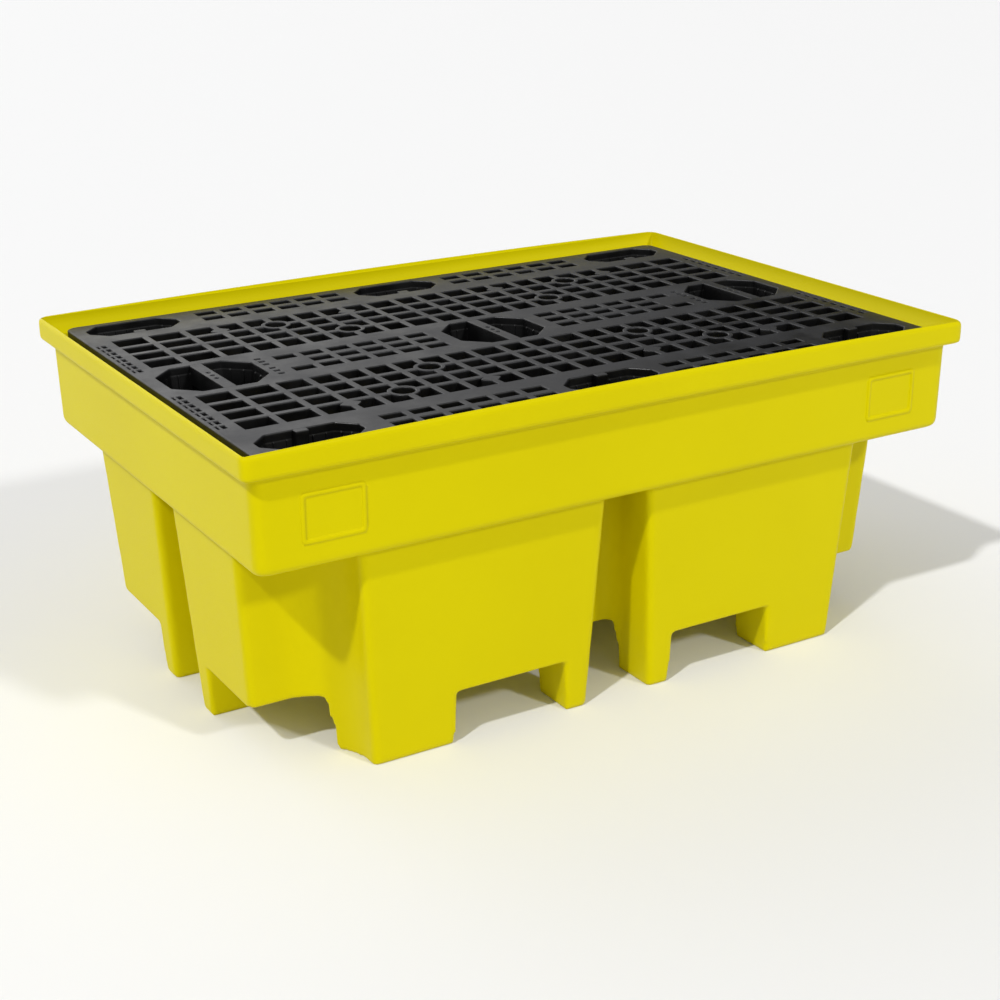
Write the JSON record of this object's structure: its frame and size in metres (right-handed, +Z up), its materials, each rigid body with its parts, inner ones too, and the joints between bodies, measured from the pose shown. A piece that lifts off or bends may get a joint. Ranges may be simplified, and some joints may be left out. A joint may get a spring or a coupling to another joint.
{
  "type": "spill containment pallet",
  "caption": "Moulded sump with a stepped collar, hollow feet and four-way fork tunnels, covered by a lift-out nestable grid deck.",
  "frame": {"origin": "on the ground, under the middle of the sump", "axes": "+X along the length, -Y towards the side with the two blank frames, +Z up"},
  "size_m": [1.27, 0.87, 0.54],
  "materials": {
    "yellow_polyethylene": "rotomoulded, satin, faint orange-peel texture",
    "black_polyethylene": "injection moulded, satin"
  },
  "bodies": {
    "sump_body": {"sump": "yellow_polyethylene"},
    "deck_body": {"deck_grid": "black_polyethylene"}
  },
  "joints": [
    {"name": "deck_lift", "type": "slide", "parent": "sump_body", "child": "deck_body", "axis": [0, 0, 1], "range_m": [0, 0.25]}
  ]
}
